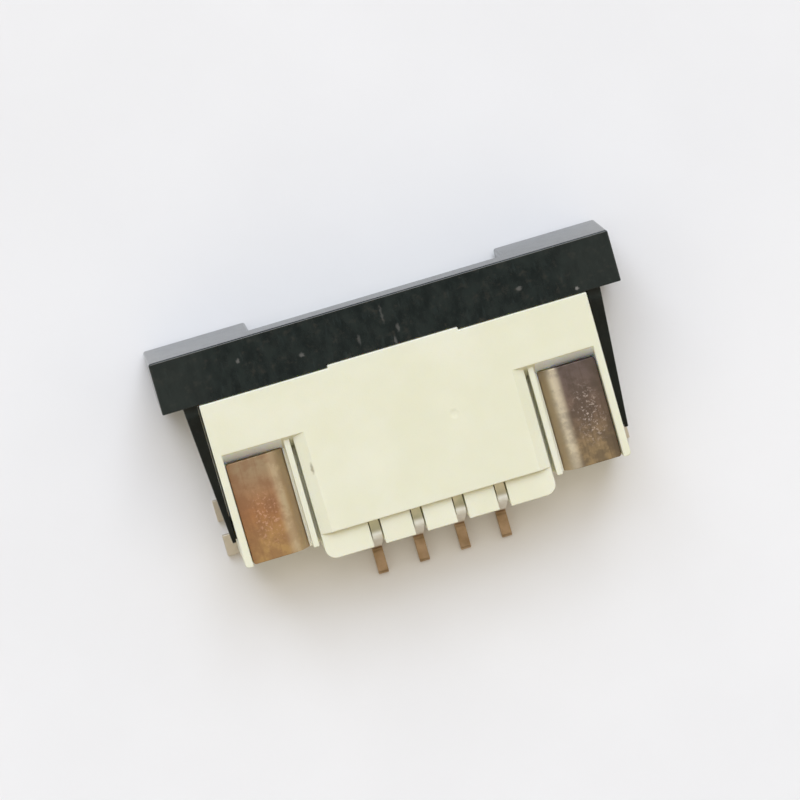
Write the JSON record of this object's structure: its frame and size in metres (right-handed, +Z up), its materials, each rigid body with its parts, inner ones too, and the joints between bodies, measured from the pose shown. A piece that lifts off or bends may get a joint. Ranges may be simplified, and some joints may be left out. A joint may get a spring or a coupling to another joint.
{
  "type": "fpc connector",
  "caption": "Right-angle surface-mount connector for a flat flexible cable, with an ivory housing, black pull-out slider, spring contacts and bent hold-down clips.",
  "frame": {"origin": "board plane, at the middle of the footprint from the slider's front to the tips of the solder tails", "axes": "+X along the contact row, +Y out of the cable mouth, +Z up from the board"},
  "size_m": [0.011, 0.0066, 0.0025],
  "materials": {
    "ivory_plastic": "satin moulded",
    "black_plastic": "satin moulded with fine texture",
    "contact_metal": "tinned bronze",
    "clip_metal": "dull tinned sheet"
  },
  "bodies": {
    "base": {"housing": "ivory_plastic", "contact_1": "contact_metal", "contact_2": "contact_metal", "contact_3": "contact_metal", "contact_4": "contact_metal", "hold_down_left": "clip_metal", "hold_down_right": "clip_metal"},
    "slider": {"slider": "black_plastic"}
  },
  "joints": [
    {"name": "slider_pull", "type": "slide", "parent": "base", "child": "slider", "axis": [0, 1, 0], "range_m": [0, 0.0013]}
  ]
}
